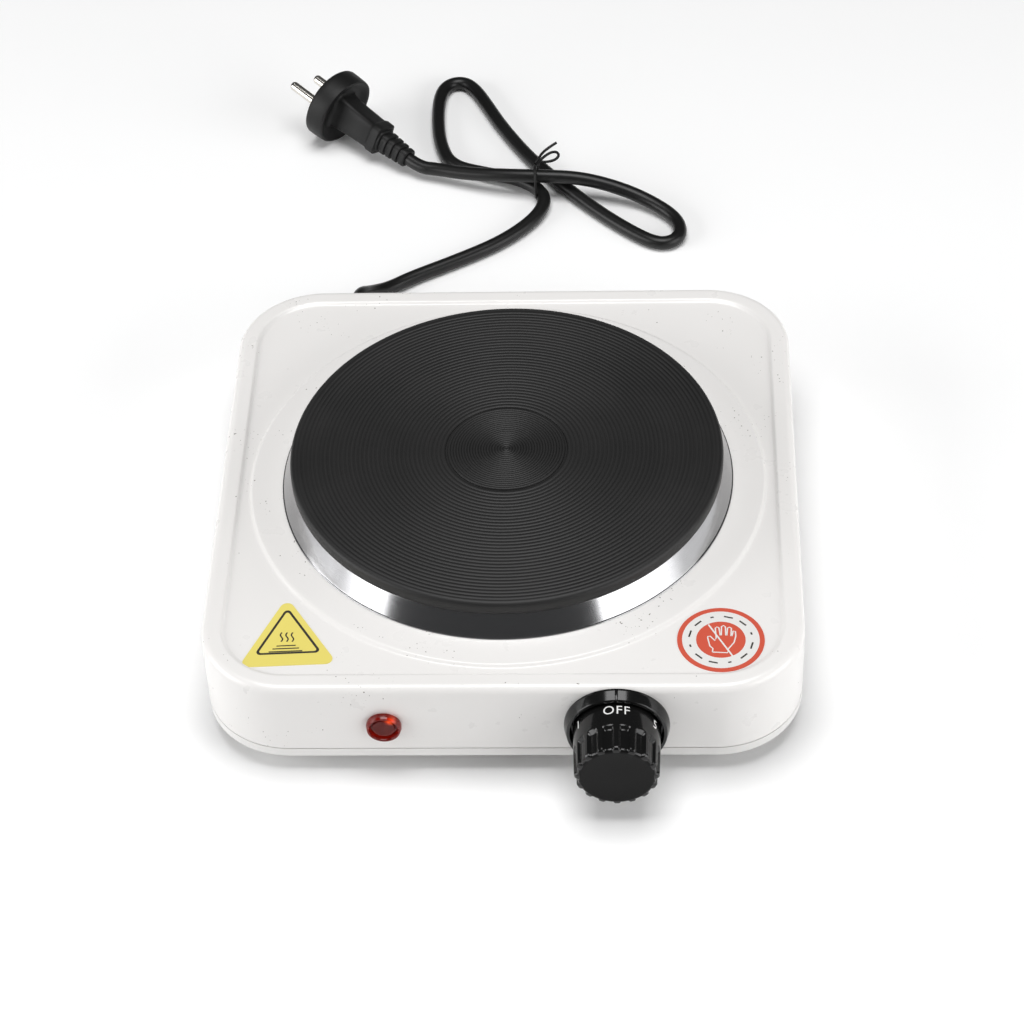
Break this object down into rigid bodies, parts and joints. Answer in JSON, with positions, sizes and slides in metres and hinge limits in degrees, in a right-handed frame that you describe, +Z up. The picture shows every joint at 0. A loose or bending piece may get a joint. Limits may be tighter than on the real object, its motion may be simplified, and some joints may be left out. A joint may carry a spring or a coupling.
{
  "type": "hot plate burner",
  "caption": "Countertop electric burner: round cast-iron plate in a steel ring on a square pressed-steel body, with a turning knob, pilot lamp, rubber feet and a corded plug.",
  "frame": {"origin": "on the table under the middle of the footprint of the body and its knob", "axes": "+Z up, the knob and the lamp face -Y, +X to the right of a person who faces the knob"},
  "size_m": [0.252, 0.5076, 0.067],
  "materials": {
    "white_enamel": "gloss",
    "white_paint": "gloss",
    "plate_iron": "satin",
    "bright_steel": "polished",
    "mineral_board": "matte",
    "steel_sheath": "satin",
    "steel": "satin",
    "zinc_sheet": "satin",
    "black_gloss": "gloss",
    "ceramic": "matte",
    "brass": "satin",
    "bimetal": "satin",
    "lamp_red": "gloss",
    "clear_glass": "gloss",
    "foot_rubber": "matte",
    "label_yellow": "satin",
    "label_red": "satin",
    "black_soft": "matte",
    "black_matte": "matte",
    "cord_black": "satin",
    "wire_green": "satin",
    "wire_brown": "satin",
    "wire_blue": "satin",
    "wire_white": "matte",
    "pin_nickel": "polished",
    "tie_black": "satin"
  },
  "bodies": {
    "appliance": {"top_shell": "white_enamel", "base_pan": "white_paint", "hot_plate": "plate_iron", "trim_ring": "bright_steel", "element_insulation": "mineral_board", "heating_coil": "steel_sheath", "element_terminals": "steel", "heat_shield": "zinc_sheet", "clamp_bracket": "zinc_sheet", "centre_stud": "steel", "stud_washer": "steel", "stud_nut": "steel", "knob_bezel": "black_gloss", "thermostat_bracket": "zinc_sheet", "thermostat_body": "ceramic", "thermostat_screws": "steel", "bimetal_strip": "bimetal", "leaf_holder": "ceramic", "fixed_contact": "brass", "thermostat_terminals": "brass", "lamp_lens": "lamp_red", "lamp_retainer": "zinc_sheet", "neon_tube": "clear_glass", "foot_front_left": "foot_rubber", "foot_front_right": "foot_rubber", "foot_rear_left": "foot_rubber", "foot_rear_right": "foot_rubber", "foot_screws": "steel", "screw_posts": "zinc_sheet", "caution_triangle": "label_yellow", "caution_disc": "label_red", "cord_bushing": "black_soft", "cord_tail": "cord_black", "cord_clamp": "black_matte", "cord_clamp_screws": "steel", "terminal_block": "ceramic", "earth_screw": "brass", "wire_earth": "wire_green", "wire_line": "wire_brown", "wire_neutral": "wire_blue", "wire_switched": "wire_white", "wire_element": "wire_white", "wire_return": "wire_white", "lamp_leads": "wire_white", "plug_relief": "black_soft", "plug_body": "black_matte", "plug_pins": "pin_nickel", "power_cord": "cord_black", "cord_tie": "tie_black"},
    "knob_set": {"control_knob": "black_gloss", "thermostat_shaft": "brass"},
    "contact_arm": {"contact_leaf": "brass"}
  },
  "joints": [
    {"name": "knob_turn", "type": "hinge", "parent": "appliance", "child": "knob_set", "pos_m": [0.0478, -0.1117, 0.0288], "axis": [0, 1, 0], "range_deg": [0, 300]},
    {"name": "contact_tilt", "type": "hinge", "parent": "appliance", "child": "contact_arm", "pos_m": [0.0478, -0.0893, 0.02], "axis": [-1, 0, 0], "range_deg": [0, 3]}
  ],
  "couplings": [
    {"joint": "contact_tilt", "follows": "knob_turn", "ratio": 0.01}
  ]
}
